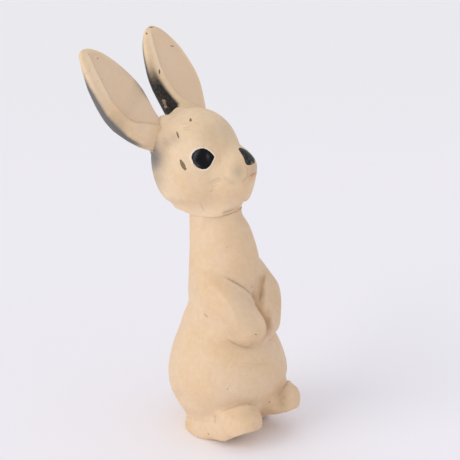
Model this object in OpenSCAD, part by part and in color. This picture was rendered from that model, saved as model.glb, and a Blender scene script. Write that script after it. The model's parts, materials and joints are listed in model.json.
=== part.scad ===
// Soft vinyl rabbit figure: hollow body and head on a swivel neck, plugged ears, set-in eyes and nose,
// and a reed whistle gripped by the hole in the base.
// The rabbit faces -Y, its right side is -X, and it stands on z = 0.
// Each skin is worked out ring by ring on a straight axis, and the body's axis then leans back.

/* [Body] */
// Width of the base at the floor
base_w = 37.5; // [36:0.5:43]
// Depth of the base at the floor
base_d = 33; // [30:0.5:38]
// How far the middle of the base sits back
base_back = 3.3; // [0:0.1:6]
// Height of the upright rim round the base
base_h = 4; // [3:0.5:6]
// Radius of the rounded edge round the base
base_edge = 1.5; // [1:0.5:3]
// Width of the belly at its widest ring
belly_w = 55.5; // [48:0.5:62]
// Depth of the belly at its widest ring
belly_d = 55.5; // [48:0.5:62]
// Height of the belly's widest ring
belly_h = 28; // [22:1:32]
// Width of the waist behind the paws
waist_w = 35.9; // [32:0.1:42]
// Depth of the waist behind the paws
waist_d = 36.5; // [32:0.5:42]
// Height of the waist
waist_h = 59; // [52:1:66]
// Width of the chest at the shoulders
chest_w = 29.6; // [28:0.1:34]
// Depth of the chest at the shoulders
chest_d = 33.2; // [29:0.1:36]
// How far the chest ring sits forward
chest_fwd = 2.1; // [0:0.1:3]
// Height of the chest ring
chest_h = 83; // [76:1:90]
// Diameter of the neck at its seam
neck_d = 24.2; // [24:0.1:28]
// Height of the neck seam along the axis
neck_h = 104; // [97:1:112]
// How far the seam sits behind the middle of the base
lean_back = 8; // [4:0.5:16]
// How far the seam plane tips back
neck_tilt = 2; // [0:0.5:6]
// How far the seam plane tips to the rabbit's right
neck_roll = 2; // [-6:0.5:6]
// Thickness of the body's vinyl wall
body_wall = 2.2; // [1.6:0.1:2.4]

/* [Arms] */
// Height of the shoulder
shoulder_h = 72; // [66:1:76]
// Angle of the shoulder from straight ahead
shoulder_turn = 67; // [55:1:80]
// How deep the middle of the shoulder sits in the chest
shoulder_sink = 4.2; // [3:0.2:6]
// Thickness of the upper arm
arm_d = 18.1; // [14:0.1:19]
// Height of the elbow
elbow_h = 62; // [56:1:64]
// Angle of the elbow from straight ahead
elbow_turn = 32; // [26:1:42]
// Height of the paw's tip
paw_h = 47; // [42:1:52]
// Angle of the paw from straight ahead
paw_turn = 16; // [14:1:24]
// Thickness of the paw
paw_d = 15.5; // [12:0.5:18]
// How far the paw's middle stands out from the belly
paw_out = 0.7; // [0:0.1:3]
// Height of the flank under the arm
flank_h = 56; // [50:1:60]
// Angle of the flank from straight ahead
flank_turn = 56; // [48:1:62]
// Radius of the flank's swell
flank_r = 18; // [15:0.5:20]
// How far the flank swells out
flank_out = 2.6; // [1:0.2:4]
// Height of the fullest part of the forearm's underside
forearm_h = 52; // [49:0.5:55]
// Angle of the forearm's underside from the front
forearm_turn = 36; // [30:1:44]
// Radius of the forearm's underside, seen from above
forearm_r = 14; // [12:0.5:16]
// How far the forearm's underside reaches down and up from its fullest part
forearm_down = 8; // [7:0.5:10]
forearm_up = 18; // [15:0.5:20]
// How far the forearm's underside stands out from the trunk
forearm_out = 4.2; // [3:0.2:5]

/* [Feet] */
// Length of the toe end of a foot
toe_l = 26; // [22:1:32]
// Width of a foot
foot_w = 19.6; // [15:0.1:22]
// Height of a foot's top
foot_h = 18.7; // [16:0.1:22]
// Thickness of a foot from its sole to its top
foot_t = 13.4; // [12:0.1:16]
// Distance of a foot's middle from the middle of the figure
foot_x = 12.2; // [10:0.1:14]
// Distance of a foot's middle in front of the base's middle
foot_y = 18; // [15:0.5:22]
// How much higher the left foot sits
left_lift = 4.4; // [0:0.1:5]
// Length of the heel part of a foot
heel_l = 25; // [22:0.5:30]
// Height of the heel part of a foot
heel_h = 8; // [6:0.5:10]
// Distance of a heel's middle from the middle of the figure
heel_x = 12.8; // [11:0.1:14]
// Distance of a heel's middle in front of the figure's middle
heel_y = -0.7; // [-2:0.1:4]
// Length, height and place of the instep, which joins the heel to the toes
instep_l = 30; // [24:0.5:32]
instep_h = 13; // [12:0.5:16]
instep_t = 11.6; // [10:0.1:13]
instep_y = 8.5; // [5:0.5:11]
// Angle by which the toes turn out
toe_out = 10; // [0:1:15]
// Squareness of a foot's rounded top, where 2 is an oval
top_square = 2.6; // [2:0.1:3]
// Squareness of a foot's sole, where 2 is an oval
sole_square = 4.5; // [3:0.5:6]

/* [Head] */
// Width of the skull
skull_w = 42.5; // [38:0.5:48]
// Depth of the skull from front to back
skull_d = 40; // [38:0.5:44]
// Height of the skull's middle above the neck seam
skull_h = 23.3; // [21:0.1:25]
// Height of the crown above the skull's middle
crown_h = 22.1; // [20:0.1:26]
// Depth of the rounded jaw below the skull's middle
jaw_h = 28; // [27:0.5:31]
// How far the skull's middle sits behind the neck's axis
skull_back = 8.8; // [5:0.1:10]
// Width of the muzzle
muzzle_w = 26.9; // [22:0.1:32]
// Depth of the muzzle's bulge
muzzle_d = 27.2; // [26:0.1:34]
// Height of the muzzle's middle above the neck seam
muzzle_h = 18.4; // [16:0.1:20]
// Height of the muzzle above its middle
muzzle_top = 12; // [11:0.5:15]
// Depth of the chin below the muzzle's middle
chin_h = 17.3; // [16.5:0.1:20]
// How far the muzzle's middle is in front of the neck's axis
muzzle_y = 6; // [4:0.5:9]
// Height of the throat above the neck seam
throat_h = 10; // [8:0.5:12]
// How far the throat stands out past the neck
throat_lip = 0.3; // [0.1:0.1:0.6]
// Thickness of the head's vinyl wall
head_wall = 3; // [2.5:0.1:3.5]
// How far the head is turned to the rabbit's left
head_turn = 19; // [-60:1:60]

/* [Ears] */
// Length of an ear above its seat
ear_l = 55; // [46:1:62]
// Width of an ear at its widest
ear_w = 26.1; // [22:0.1:29]
// Width of the ear's root
root_w = 18.1; // [16:0.1:20]
// Thickness of the ear's root behind its inner face
root_t = 4.6; // [4:0.2:5.4]
// Thickness of the ear behind its inner face
ear_t = 7.2; // [5:0.1:8]
// Depth of the hollow in the ear's inner face
ear_scoop = 2; // [0.5:0.25:3]
// How far out on the skull an ear's seat is, as a share of the skull's half width
ear_x_share = 0.65; // [0.58:0.01:0.68]
// How far behind the skull's middle an ear's seat is, as a share of its half depth
ear_y_share = 0.41; // [0.32:0.01:0.46]
// How far above the skull's middle an ear's seat is, as a share of the crown's height
ear_h_share = 0.389; // [0.36:0.001:0.45]
// Angle by which an ear leans back from the neck's axis
ear_back = 29.6; // [26:0.1:40]
// Angle by which an ear leans out
ear_out = 25.8; // [14:0.1:32]
// Angle by which the right ear's inner face turns out
right_turn = 4; // [-20:1:20]
// Angle by which the left ear's inner face turns out
left_turn = -32; // [-40:1:10]
// Width of the plug under an ear
ear_plug_w = 9; // [8:0.5:11]
// Thickness of the plug under an ear
ear_plug_t = 4; // [3:0.2:5]
// How far the plug's lip reaches out under the seat
ear_lip = 0.9; // [0.6:0.1:1.2]
// Thickness of the plug's lip
ear_lip_t = 1.2; // [0.8:0.1:1.6]
// Thickness of the vinyl under an ear's seat
seat_t = 2; // [1.6:0.1:2.6]
// Width of the thickened vinyl round an ear's seat
seat_rim = 2; // [1.4:0.1:2.6]

/* [Face] */
// Diameter of an eye
eye_d = 10.4; // [8:0.2:12]
// How far an eye's dome stands out
eye_dome = 1.7; // [1:0.1:2.5]
// Depth of an eye's socket
eye_sink = 1.9; // [1.6:0.1:2.2]
// How far an eye's edge lies below the skin
eye_rim = 0.5; // [0.3:0.1:0.8]
// Angle of an eye from straight ahead
eye_turn = 55; // [40:1:58]
// Angle of an eye above the skull's middle
eye_up = 11; // [0:1:20]
// Width of the nose across its upper corners
nose_w = 10.5; // [8:0.5:12]
// Height of the nose from its upper edge to its lower corner
nose_h = 9; // [7:0.5:10]
// Thickness of the nose's rounded edge
nose_t = 3.6; // [3:0.2:4.4]
// How far the nose stands out of the muzzle
nose_lift = 1.4; // [0.5:0.1:1.8]
// Height of the nose's middle above the neck seam
nose_z = 25; // [23:0.1:26.5]

/* [Whistle] */
// Diameter of the hole in the base
whistle_d = 17; // [14:0.5:19]
// Thickness of the vinyl floor round the whistle
floor_t = 3.2; // [2.8:0.1:4]
// Height of the cup above the vinyl floor
cup_h = 8; // [7:0.5:12]
// Wall thickness of the cup
cup_wall = 1; // [0.8:0.1:1.4]
// Thickness of the cup's end
cup_end = 1.3; // [1:0.1:1.6]
// Width of the cup's outer flange beyond the hole
flange = 1.6; // [1.2:0.1:2]
// Width of the cup's inner flange beyond the hole
grip = 1.1; // [0.8:0.1:1.4]
// Thickness of each flange
flange_t = 0.9; // [0.7:0.1:1.2]
// How far the outer flange sits above the ground
whistle_up = 0.4; // [0.2:0.1:0.6]
// Length of the sloped edge behind the inner flange
grip_slope = 0.6; // [0.4:0.1:1]
// Width of the ledge that carries the plate
ledge = 0.9; // [0.6:0.1:1.2]
// Height of the ledge above the inner flange
ledge_h = 1.5; // [1:0.1:2]
// Thickness of the plate
plate_t = 1.2; // [1:0.1:1.6]
// Diameter of the air holes
air_d = 4; // [3:0.5:5]
// Length of the reed
reed_l = 9; // [7:0.5:10]
// Width of the reed
reed_w = 3.2; // [2.4:0.2:4]
// Thickness of the reed
reed_t = 0.3; // [0.2:0.05:0.5]
// Length of the reed's fixed end
reed_root = 2.5; // [2:0.1:3]
// How far the reed laps over the sides of its slot
reed_lap = 0.6; // [0.4:0.1:0.8]
// Thickness of the cap
cap_t = 1; // [0.8:0.1:1.4]
// Length of the cap's skirt inside the cup
skirt_h = 1.5; // [1:0.1:2]
// Thickness of the cap's skirt
skirt_t = 1; // [0.8:0.1:1.2]

/* [Fits] */
// Radial clearance of the neck plug in its collar
neck_fit = 0.1; // [0.05:0.01:0.1]
// Gap above and below the neck's collar
neck_gap = 0.2; // [0.15:0.05:0.5]
// Thickness of the neck's collar
collar_t = 3; // [2.5:0.1:3.5]
// How far the plug's flange reaches under the collar
snap = 1.3; // [1:0.1:1.6]
// Room round the plug's flange inside the neck
snap_room = 0.6; // [0.4:0.1:0.8]
// Thickness of the edge of the plug's flange
snap_edge = 0.8; // [0.6:0.1:1]
// Length of the plug below the collar
snap_l = 3; // [2:0.1:4]
// Wall thickness of the neck plug
plug_wall = 2; // [1.6:0.1:2.4]
// Clearance round the pieces seated in the head
seat_fit = 0.05; // [0.03:0.01:0.1]
// Room above an ear plug's lip
lip_gap = 0.2; // [0.1:0.05:0.3]
// Clearance of the whistle in its hole and of its pieces in the cup
whistle_fit = 0.05; // [0.03:0.01:0.1]
// Clearance round the outer flange in the base
flange_fit = 0.3; // [0.2:0.05:0.5]

/* [Hidden] */
$fn = 72;
vinyl = [0.88, 0.74, 0.6];
black = [0.05, 0.05, 0.06];
pale = [0.8, 0.8, 0.76];
brass = [0.78, 0.62, 0.3];

// Points round a skin and rings up it
body_sides = 60;
body_rings = 54;
head_sides = 48;
head_rings = 32;
ear_sides = 26;
ear_rings = 18;
pocket_rings = 6;
cavity_sides = 24;
cavity_rings = 14;
nose_sides = 20;
arm_steps = 20;
// How the body's rings crowd to the base, and its points to the front
ring_crowd = 1.1;
front_crowd = 16;
// Sweep up to a rounded end, short of its very top
end_sweep = 88;
// Width of the soft crease where a limb or a face part swells out
limb_melt = 4.5;
face_melt = 3;
// How far a cutter runs past the face it opens
past = 1;

// Neck
collar_r = neck_d / 2 - body_wall - snap - snap_room;
plug_r = collar_r - neck_fit;
plug_bore_r = plug_r - plug_wall;
plug_low = collar_t + 2 * neck_gap;

// Whistle
recess_t = whistle_up + flange_t;
cup_r = whistle_d / 2 - whistle_fit;
cup_in_r = cup_r - cup_wall;
cup_top = floor_t + cup_h;
plate_z = floor_t + flange_t + ledge_h;

// Smooth curve through rows [key, values...], read at one key
function row_at(rows, k, i = 0) =
    (i >= len(rows) - 2 || k < rows[i + 1][0]) ? i : row_at(rows, k, i + 1);
function rise(rows, i, c) = (rows[i + 1][c] - rows[i][c]) / (rows[i + 1][0] - rows[i][0]);
function slope(rows, i, c) =
    i == 0 ? rise(rows, 0, c) :
    i == len(rows) - 1 ? rise(rows, i - 1, c) :
    let (a = rise(rows, i - 1, c), b = rise(rows, i, c))
    a * b <= 0 ? 0 : 2 * a * b / (a + b);
function curve(rows, k, c) =
    let (i = row_at(rows, k),
        a = rows[i],
        b = rows[i + 1],
        d = b[0] - a[0],
        t = (k - a[0]) / d)
    a[c] * (1 + 2 * t) * (1 - t) * (1 - t) + b[c] * t * t * (3 - 2 * t)
    + d * (slope(rows, i, c) * t * (1 - t) * (1 - t) - slope(rows, i + 1, c) * t * t * (1 - t));

// Larger of two reaches, with the crease between them filled over a width k
function melt(a, b, k) = let (e = max(k - abs(a - b), 0)) max(a, b) + e * e / (4 * k);

// Distance from a ring's middle to its oval edge, at an angle from straight ahead
function oval(w, d, a) = 0.5 / sqrt(pow(sin(a) / w, 2) + pow(cos(a) / d, 2));

// A lobe is [x, y, height, half width, half depth, depth below, height above, turn,
// squareness above, squareness below].
// Its reach is the distance from a ring's middle to the lobe's far side, or 0 past it.
function ball(x, y, h, r) = [x, y, h, r, r, r, r, 0, 2, 2];
function lobe_reach(l, y0, a, h) =
    let (dh = h - l[2],
        p = dh < 0 ? l[9] : l[8],
        k = 1 - pow(abs(dh) / (dh < 0 ? l[5] : l[6]), p))
    k <= 0 ? 0 :
    let (s = pow(k, 1 / p),
        c = cos(l[7]),
        n = sin(l[7]),
        ox = -l[0],
        oy = y0 - l[1],
        qx = (ox * c + oy * n) / (l[3] * s),
        qy = (oy * c - ox * n) / (l[4] * s),
        dx = (sin(a) * c - cos(a) * n) / (l[3] * s),
        dy = (-cos(a) * c - sin(a) * n) / (l[4] * s),
        dd = dx * dx + dy * dy,
        b = qx * dx + qy * dy,
        disc = b * b - dd * (qx * qx + qy * qy - 1))
    disc < 0 ? 0 : max(0, (sqrt(disc) - b) / dd);
function far_reach(lobes, y0, a, h) = max([for (l = lobes) lobe_reach(l, y0, a, h)]);

// Closed skin through rings of points, with a flat face over each end
module skin(rings) {
    m = len(rings);
    n = len(rings[0]);
    side = [for (i = [0 : m - 2]) for (j = [0 : n - 1]) let (k = (j + 1) % n) each [
        [i * n + j, (i + 1) * n + j, (i + 1) * n + k],
        [i * n + j, (i + 1) * n + k, i * n + k]
    ]];
    ends = [
        [for (j = [0 : n - 1]) j],
        [for (j = [1 : n]) m * n - j]
    ];
    polyhedron([for (r = rings) each r], concat(side, ends));
}

// Trunk of the body, and the limbs that swell out of it
function haunch(s) = [base_h + (belly_h - base_h) * s,
    base_w + (belly_w - base_w) * sin(90 * s),
    base_d + (belly_d - base_d) * sin(90 * s),
    base_back * (1 - s)];
trunk = [
    [0, base_w, base_d, base_back],
    haunch(0),
    haunch(0.5),
    haunch(1),
    [waist_h, waist_w, waist_d, 0],
    [chest_h, chest_w, chest_d, -chest_fwd],
    [neck_h, neck_d, neck_d, 0]
];
function trunk_mid(h) = curve(trunk, h, 3);
function trunk_reach(a, h) = oval(curve(trunk, h, 1), curve(trunk, h, 2), a);
// Arm from the shoulder past the elbow to the paw: angle, height, radius and how far it stands out
arm_path = [
    [0, shoulder_turn, shoulder_h, arm_d / 2, -shoulder_sink],
    [1, elbow_turn, elbow_h, (arm_d + paw_d) / 4, paw_out / 2],
    [2, paw_turn, paw_h + paw_d / 2, paw_d / 2, paw_out]
];
function arm(side) = [for (i = [0 : arm_steps])
    let (t = 2 * i / arm_steps,
        a = curve(arm_path, t, 1),
        h = curve(arm_path, t, 2),
        out = trunk_reach(a, h) + curve(arm_path, t, 4))
    ball(side * out * sin(a), -out * cos(a), h, curve(arm_path, t, 3))];
// Flank under each arm, which fills the hollow between the arm and the belly
function flank(side) =
    let (a = flank_turn, out = trunk_reach(a, flank_h) + flank_out - flank_r)
    ball(side * out * sin(a), -out * cos(a), flank_h, flank_r);
// Underside of each forearm, which runs softly into the flank
function forearm(side) =
    let (a = forearm_turn, out = trunk_reach(a, forearm_h) + forearm_out - forearm_r)
    [side * out * sin(a), -out * cos(a), forearm_h, forearm_r, forearm_r, forearm_down, forearm_up,
    0, 2, 2];
function toes(side) =
    [side * foot_x, -foot_y, foot_h - foot_t / 2 + (side > 0 ? left_lift : 0),
    foot_w / 2, toe_l / 2, foot_t / 2, foot_t / 2, side * toe_out, top_square, sole_square];
function instep(side) =
    [side * (foot_x + heel_x) / 2, -instep_y, instep_h - instep_t / 2 + (side > 0 ? left_lift : 0),
    foot_w / 2, instep_l / 2, instep_t / 2, instep_t / 2, side * toe_out, top_square, sole_square];
function heel(side) =
    [side * heel_x, -heel_y, 0, foot_w / 2, heel_l / 2, heel_h, heel_h, side * toe_out,
    top_square, top_square];
limbs = concat(arm(1), arm(-1),
    [for (s = [-1, 1]) each [flank(s), forearm(s), toes(s), instep(s), heel(s)]]);
function edge_inset(h) =
    h < base_edge ? base_edge - sqrt(base_edge * base_edge - pow(base_edge - h, 2)) : 0;
function body_reach(a, h) =
    melt(trunk_reach(a, h), far_reach(limbs, trunk_mid(h), a, h), limb_melt) - edge_inset(h);

// The body's axis leans back along a curve, and its rings tip little by little into the seam plane
function leaned(x, y, h) =
    let (t = pow(h / neck_h, 2))
    [x, y + lean_back * t, h + t * (x * tan(neck_roll) - y * tan(neck_tilt) / cos(neck_roll))];
function body_ring(sides, h, cut) = [for (j = [0 : sides - 1])
    let (u = 360 * j / sides,
        a = u - front_crowd * sin(u),
        r = cut > 0 ? trunk_reach(a, h) - cut : body_reach(a, h))
    leaned(r * sin(a), trunk_mid(h) - r * cos(a), h)];
module body_skin() {
    skin([for (i = [0 : body_rings])
        body_ring(body_sides, neck_h * pow(i / body_rings, ring_crowd), 0)]);
}
module body_cavity() {
    low = floor_t;
    high = neck_h - collar_t;
    skin([for (i = [0 : cavity_rings])
        body_ring(cavity_sides, low + (high - low) * i / cavity_rings, body_wall)]);
}
// Puts what is drawn on the neck's own axis at the seam
module at_neck() {
    translate([0, lean_back, neck_h])
        rotate([-neck_tilt, -neck_roll, 0])
            children();
}
module body_shell() {
    color(vinyl)
        difference() {
            body_skin();
            body_cavity();
            at_neck()
                translate([0, 0, -collar_t - past])
                    cylinder(h = collar_t + 2 * past, r = collar_r);
            translate([0, 0, -past])
                cylinder(h = floor_t + 2 * past, r = whistle_d / 2);
            translate([0, 0, -past])
                cylinder(h = recess_t + past, r = whistle_d / 2 + flange + flange_fit);
        }
}

// Head: a skull, a muzzle and a throat, on the neck's axis
skull = [0, skull_back, skull_h, skull_w / 2, skull_d / 2, jaw_h, crown_h, 0, 2, 2];
muzzle = [0, -muzzle_y, muzzle_h, muzzle_w / 2, muzzle_d / 2, chin_h, muzzle_top, 0, 2, 2];
throat = [0, 0, 0, neck_d / 2 + throat_lip, neck_d / 2 + throat_lip, throat_h, throat_h, 0, 2, 2];
hollow = [0, skull_back, skull_h, skull_w / 2 - head_wall, skull_d / 2 - head_wall,
    jaw_h - head_wall, crown_h - head_wall, 0, 2, 2];
head_top = skull_h + crown_h;
function head_mid(h) = skull_back * min(1, h / skull_h);
function head_reach(a, h) =
    let (y = head_mid(h),
        face = melt(lobe_reach(skull, y, a, h), lobe_reach(muzzle, y, a, h), face_melt))
    melt(face, lobe_reach(throat, y, a, h), face_melt);
// Point on the head, sunk by some depth below its skin
function on_head(a, h, sink) =
    let (r = head_reach(a, h) - sink)
    [r * sin(a), head_mid(h) - r * cos(a), h];
module head_skin() {
    skin([for (i = [0 : head_rings])
        let (h = head_top * sin(end_sweep * i / head_rings))
        [for (j = [0 : head_sides - 1]) on_head(360 * j / head_sides, h, 0)]]);
}
module head_cavity() {
    low = head_wall;
    high = head_top - head_wall;
    skin([for (i = [0 : cavity_rings])
        let (h = low + (high - low) * sin(end_sweep * i / cavity_rings))
        [for (j = [0 : cavity_sides - 1])
            let (a = 360 * j / cavity_sides, r = lobe_reach(hollow, skull_back, a, h))
            [r * sin(a), skull_back - r * cos(a), h]]]);
}
// Puts what is drawn in the head's own frame where the head is
module at_head() {
    at_neck()
        rotate([0, 0, head_turn])
            translate([0, 0, neck_gap])
                children();
}
module at_ear(side) {
    translate([
        side * skull_w / 2 * ear_x_share,
        skull_back + skull_d / 2 * ear_y_share,
        skull_h + crown_h * ear_h_share
    ])
        rotate([-ear_back, side * ear_out, 0])
            rotate([0, 0, side > 0 ? left_turn : -right_turn])
                children();
}
module at_eye(side) {
    a = side * eye_turn;
    translate(on_head(a, skull_h + skull_w / 2 * sin(eye_up), 0))
        rotate([90 - eye_up, 0, a])
            children();
}
// Turned plug under the head, with a flange that snaps in below the collar
module neck_plug() {
    rotate_extrude()
        polygon([
            [plug_bore_r, head_wall],
            [plug_r, head_wall],
            [plug_r, -plug_low],
            [plug_r + snap, -plug_low],
            [plug_r + snap, -plug_low - snap_edge],
            [plug_r, -plug_low - snap_l],
            [plug_bore_r, -plug_low - snap_l]
        ]);
}
// The cavity, less the thickened vinyl that carries the ears
module head_hollow() {
    difference() {
        head_cavity();
        for (s = [-1, 1])
            at_ear(s)
                translate([0, 0, -seat_t])
                    cylinder(h = ear_l, r = root_w / 2 + seat_rim);
    }
}
module head_solid() {
    difference() {
        union() {
            head_skin();
            neck_plug();
        }
        head_hollow();
        translate([0, 0, -plug_low - snap_l - past])
            cylinder(h = plug_low + snap_l + 2 * past + head_wall, r = plug_bore_r);
        for (s = [-1, 1]) {
            at_ear(s)
                ear_blade(seat_fit, pocket_rings);
            at_ear(s)
                translate([0, 0, -seat_t - past])
                    linear_extrude(height = seat_t + 2 * past)
                        ear_plug_outline(seat_fit);
            at_ear(s)
                translate([0, 0, -seat_t - ear_lip_t - 2 * lip_gap])
                    linear_extrude(height = ear_lip_t + 2 * lip_gap)
                        ear_plug_outline(ear_lip + lip_gap);
            at_eye(s)
                translate([0, 0, -eye_sink])
                    cylinder(h = eye_sink + eye_d, r = eye_d / 2 + seat_fit);
        }
        nose_solid(seat_fit);
    }
}
module head_shell() {
    color(vinyl)
        at_head()
            head_solid();
}

// Ears: oval blades with a hollow inner face, on a flat root and a keyed plug.
// Each row of the outline is [share of the length, width, thickness behind the inner face].
ear_shape = [
    [0, root_w, root_t],
    [0.16, root_w + (ear_w - root_w) * 0.3, ear_t],
    [0.48, ear_w, ear_t],
    [0.72, ear_w * 0.9, ear_t * 0.87],
    [1, ear_w * 0.7, ear_t * 0.6]
];
// How sharply the ear rounds off at its tip
tip_round = 6.6;
// Share of the thickness that lies on the inner side, and how far across the hollow runs
inner_share = 0.62;
hollow_share = 0.86;
function ear_section(t, grow) = [for (j = [0 : ear_sides - 1])
    let (a = 360 * j / ear_sides,
        tip = sqrt(1 - pow(t, tip_round)),
        w = curve(ear_shape, t, 1) * tip / 2 + grow,
        b = curve(ear_shape, t, 2) * tip + grow,
        across = max(0, 1 - pow(cos(a) / hollow_share, 2)),
        dip = ear_scoop * sin(180 * pow(t, 0.8)) * pow(across, 0.7),
        u = sin(a))
    [w * cos(a), u > 0 ? b * u : b * inner_share * u + dip]];
module ear_plug_outline(grow) {
    straight = ear_plug_w - ear_plug_t;
    square([straight, ear_plug_t + 2 * grow], center = true);
    for (s = [-1, 1])
        translate([s * straight / 2, 0])
            circle(r = ear_plug_t / 2 + grow);
}
module ear_blade(grow, rings) {
    skin([for (i = [0 : rings])
        let (t = sin(end_sweep * i / ear_rings))
        [for (p = ear_section(t, grow)) [p[0], p[1], ear_l * t]]]);
}
module ear_solid() {
    below = seat_t + lip_gap;
    ear_blade(0, ear_rings);
    translate([0, 0, -below])
        linear_extrude(height = below + past)
            ear_plug_outline(0);
    translate([0, 0, -below - ear_lip_t])
        linear_extrude(height = ear_lip_t)
            ear_plug_outline(ear_lip);
}
module ear_left() {
    color(vinyl)
        at_head()
            at_ear(1)
                ear_solid();
}
module ear_right() {
    color(vinyl)
        at_head()
            at_ear(-1)
                ear_solid();
}

// Eyes: domed beads in round sockets
module eye_solid() {
    r = eye_d / 2;
    dome_r = (r * r + eye_dome * eye_dome) / (2 * eye_dome);
    translate([0, 0, -eye_sink])
        cylinder(h = eye_sink - eye_rim, r = r);
    translate([0, 0, -eye_rim])
        intersection() {
            translate([0, 0, eye_dome - dome_r])
                sphere(r = dome_r);
            cylinder(h = eye_dome + past, r = r);
        }
}
module eye_left() {
    color(black)
        at_head()
            at_eye(1)
                eye_solid();
}
module eye_right() {
    color(black)
        at_head()
            at_eye(-1)
                eye_solid();
}

// Nose: a rounded triangle sunk into the muzzle
module nose_solid(grow) {
    r = nose_t / 2;
    sink = r - nose_lift;
    corner = asin((nose_w / 2 - r) / head_reach(0, nose_z));
    hull() {
        for (s = [-1, 1])
            translate(on_head(s * corner, nose_z + nose_h / 2 - r, sink))
                sphere(r = r + grow, $fn = nose_sides);
        translate(on_head(0, nose_z - nose_h / 2 + r, sink))
            sphere(r = r + grow, $fn = nose_sides);
    }
}
module nose() {
    color(black)
        at_head()
            nose_solid(0);
}

// Whistle: a grooved cup, with a reed plate inside and a cap on top
module whistle_cup() {
    color(pale)
        rotate_extrude()
            polygon([
                [air_d / 2, whistle_up],
                [cup_r + flange, whistle_up],
                [cup_r + flange, recess_t - whistle_fit],
                [cup_r, recess_t - whistle_fit],
                [cup_r, floor_t + whistle_fit],
                [cup_r + grip, floor_t + whistle_fit],
                [cup_r + grip, floor_t + flange_t],
                [cup_r, floor_t + flange_t + grip_slope],
                [cup_r, cup_top],
                [cup_in_r, cup_top],
                [cup_in_r, plate_z],
                [cup_in_r - ledge, plate_z],
                [cup_in_r - ledge, whistle_up + cup_end],
                [air_d / 2, whistle_up + cup_end]
            ]);
}
module whistle_plate() {
    color(pale)
        difference() {
            translate([0, 0, plate_z])
                cylinder(h = plate_t, r = cup_in_r - whistle_fit);
            translate([reed_root - reed_l / 2, reed_lap - reed_w / 2, plate_z - past])
                cube([reed_l - reed_root - reed_lap, reed_w - 2 * reed_lap, plate_t + 2 * past]);
        }
}
module whistle_reed() {
    color(brass)
        translate([-reed_l / 2, -reed_w / 2, plate_z + plate_t])
            cube([reed_l, reed_w, reed_t]);
}
module whistle_cap() {
    color(pale)
        difference() {
            union() {
                translate([0, 0, cup_top])
                    cylinder(h = cap_t, r = cup_r);
                translate([0, 0, cup_top - skirt_h])
                    cylinder(h = skirt_h, r = cup_in_r - whistle_fit);
            }
            translate([0, 0, cup_top - skirt_h - past])
                cylinder(h = skirt_h + past, r = cup_in_r - whistle_fit - skirt_t);
            translate([0, 0, cup_top - past])
                cylinder(h = cap_t + 2 * past, r = air_d / 2);
        }
}

body_shell();
head_shell();
ear_right();
ear_left();
eye_right();
eye_left();
nose();
whistle_cup();
whistle_plate();
whistle_reed();
whistle_cap();
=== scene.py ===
import bpy, json, math
import numpy as np
from mathutils import Matrix, Vector

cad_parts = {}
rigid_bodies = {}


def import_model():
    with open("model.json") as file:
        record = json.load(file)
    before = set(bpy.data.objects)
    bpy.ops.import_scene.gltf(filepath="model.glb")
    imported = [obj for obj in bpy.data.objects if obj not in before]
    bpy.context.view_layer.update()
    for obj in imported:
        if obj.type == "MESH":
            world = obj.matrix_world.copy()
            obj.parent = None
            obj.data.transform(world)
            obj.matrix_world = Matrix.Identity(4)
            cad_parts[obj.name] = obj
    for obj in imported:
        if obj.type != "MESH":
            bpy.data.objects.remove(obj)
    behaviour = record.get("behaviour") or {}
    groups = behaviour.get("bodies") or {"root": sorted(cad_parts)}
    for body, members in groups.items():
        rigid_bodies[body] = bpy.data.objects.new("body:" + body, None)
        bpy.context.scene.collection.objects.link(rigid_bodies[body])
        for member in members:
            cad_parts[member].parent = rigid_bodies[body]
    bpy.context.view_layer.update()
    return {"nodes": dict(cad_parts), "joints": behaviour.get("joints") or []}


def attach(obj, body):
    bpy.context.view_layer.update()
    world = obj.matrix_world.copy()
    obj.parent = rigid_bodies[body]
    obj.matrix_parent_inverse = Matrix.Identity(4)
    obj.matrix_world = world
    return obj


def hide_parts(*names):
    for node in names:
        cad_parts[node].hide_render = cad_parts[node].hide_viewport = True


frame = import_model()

mm = 0.001
unmoved = Matrix.Identity(4)

# camera of the photograph, with the pixel that its target lands on
shot = dict(
    azimuth=-46, elevation=18, distance=0.690, target=(0, 0.008, 0.092), targetPixel=(216, 233),
    focalPixels=1516.5, imageSize=460)
# the head's seam and axis come from the joint, its turn and the ears' lean from the moulded pose
headPose = dict(turn=19, gap=0.2 * mm)
earPose = dict(place=(13.8, 17, 31.9), back=29.6, out=25.8, turn={-1: -4, 1: -32})


def pickUp(obj):
    bpy.ops.object.select_all(action="DESELECT")
    obj.select_set(True)
    bpy.context.view_layer.objects.active = obj


# one mesh tool on all of an object
def editAll(obj, tool, **values):
    pickUp(obj)
    bpy.ops.object.mode_set(mode="EDIT")
    bpy.ops.mesh.select_all(action="SELECT")
    tool(**values)
    bpy.ops.object.mode_set(mode="OBJECT")


def selectFaces(obj, mask):
    mesh = obj.data
    mesh.vertices.foreach_set("select", np.zeros(len(mesh.vertices), bool))
    mesh.edges.foreach_set("select", np.zeros(len(mesh.edges), bool))
    mesh.polygons.foreach_set("select", mask)
    bpy.context.tool_settings.mesh_select_mode = (False, False, True)


def readVectors(items, key):
    values = np.empty(len(items) * 3, np.float32)
    items.foreach_get(key, values)
    return values.reshape(-1, 3).astype(float)


def readPoints(obj):
    return readVectors(obj.data.vertices, "co")


def readNormals(obj):
    return readVectors(obj.data.vertex_normals, "vector")


def writePoints(obj, co):
    obj.data.vertices.foreach_set("co", co.astype(np.float32).ravel())
    obj.data.update()


def inFrame(co, place):
    inverse = np.array(place.inverted())
    return co @ inverse[:3, :3].T + inverse[:3, 3]


def copyNode(node, name):
    obj = bpy.data.objects.new(name, frame["nodes"][node].data.copy())
    obj.data.materials.clear()
    bpy.context.collection.objects.link(obj)
    editAll(obj, bpy.ops.mesh.remove_doubles, threshold=0.01 * mm)
    return obj


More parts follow.
